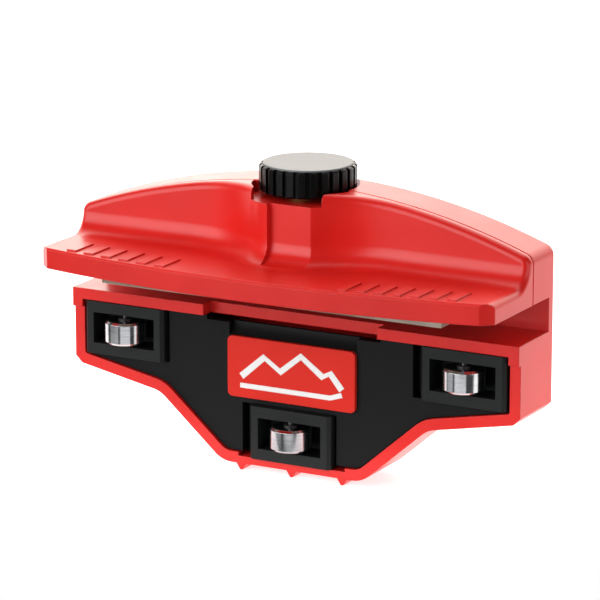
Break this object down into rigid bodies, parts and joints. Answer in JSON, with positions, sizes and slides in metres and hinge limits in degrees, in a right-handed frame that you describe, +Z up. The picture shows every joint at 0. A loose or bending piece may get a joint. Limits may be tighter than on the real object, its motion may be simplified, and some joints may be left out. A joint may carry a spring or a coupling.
{
  "type": "edge tuning tool",
  "caption": "Hand-held side edge tuner for skis and snowboards: a file under a thumb ledge, an angle knob that tilts it, and guide rollers in a lower frame.",
  "frame": {"origin": "middle of the footprint, on the plane the three bottom ribs stand on", "axes": "+X along the tool, -Y out of the roller side that faces the ski base, +Z up towards the angle knob"},
  "size_m": [0.1062, 0.038, 0.0669],
  "materials": {
    "red_gloss": "glossy injection-moulded red",
    "charcoal_plastic": "matte moulded charcoal",
    "cage_plastic": "satin moulded black",
    "badge_red": "printed glossy plate",
    "roller_steel": "ground and polished",
    "bush_plastic": "black acetal",
    "pin_steel": "ground pin",
    "file_steel": "single-cut file",
    "carrier_alloy": "die-cast, vibratory finished",
    "magnet_nickel": "nickel plated",
    "nut_brass": "machined",
    "spring_steel": "spring wire",
    "knob_plastic": "satin moulded black",
    "dial_plastic": "light grey, pad printed",
    "spindle_steel": "turned and threaded",
    "bush_brass": "machined",
    "screw_steel": "black zinc"
  },
  "bodies": {
    "housing": {"badge": "badge_red", "front_shell": "red_gloss", "guide_plate": "charcoal_plastic", "guide_plate_screws": "screw_steel", "pivot_pin_left": "pin_steel", "pivot_pin_right": "pin_steel", "rear_frame": "red_gloss", "return_spring_left": "spring_steel", "return_spring_right": "spring_steel", "roller_axle_centre": "pin_steel", "roller_axle_left": "pin_steel", "roller_axle_right": "pin_steel", "roller_cage_centre": "cage_plastic", "roller_cage_left": "cage_plastic", "roller_cage_right": "cage_plastic", "shell_screws": "screw_steel", "spindle_bush": "bush_brass"},
    "knob": {"dial_disc": "dial_plastic", "knob": "knob_plastic", "spindle": "spindle_steel", "spindle_clip": "spring_steel"},
    "carrier": {"file": "file_steel", "file_carrier": "carrier_alloy", "file_magnets": "magnet_nickel"},
    "nut": {"trunnion_nut": "nut_brass"},
    "left_roller": {"roller_left": "roller_steel", "roller_bush_left": "bush_plastic"},
    "centre_roller": {"roller_centre": "roller_steel", "roller_bush_centre": "bush_plastic"},
    "right_roller": {"roller_right": "roller_steel", "roller_bush_right": "bush_plastic"}
  },
  "joints": [
    {"name": "knob_turn", "type": "hinge", "parent": "housing", "child": "knob", "pos_m": [0, 0.0087, 0.0638], "axis": [0, 0, 1], "range_deg": [0, 360]},
    {"name": "carrier_tilt", "type": "hinge", "parent": "housing", "child": "carrier", "pos_m": [0, -0.00276, 0.0442], "axis": [1, 0, 0], "range_deg": [0, 5], "deforming": ["return_spring_left", "return_spring_right"]},
    {"name": "nut_swivel", "type": "hinge", "parent": "carrier", "child": "nut", "pos_m": [0, 0.0087, 0.0442], "axis": [1, 0, 0], "range_deg": [-5, 0]},
    {"name": "left_roller_spin", "type": "hinge", "parent": "housing", "child": "left_roller", "pos_m": [-0.0404, 0.00104, 0.0271], "axis": [0, 0, 1], "continuous": true},
    {"name": "centre_roller_spin", "type": "hinge", "parent": "housing", "child": "centre_roller", "pos_m": [0, 0.00104, 0.0089], "axis": [0, 0, 1], "continuous": true},
    {"name": "right_roller_spin", "type": "hinge", "parent": "housing", "child": "right_roller", "pos_m": [0.0404, 0.00104, 0.0271], "axis": [0, 0, 1], "continuous": true}
  ],
  "couplings": [
    {"joint": "carrier_tilt", "follows": "knob_turn", "ratio": 0.013889},
    {"joint": "nut_swivel", "follows": "knob_turn", "ratio": -0.013889}
  ]
}
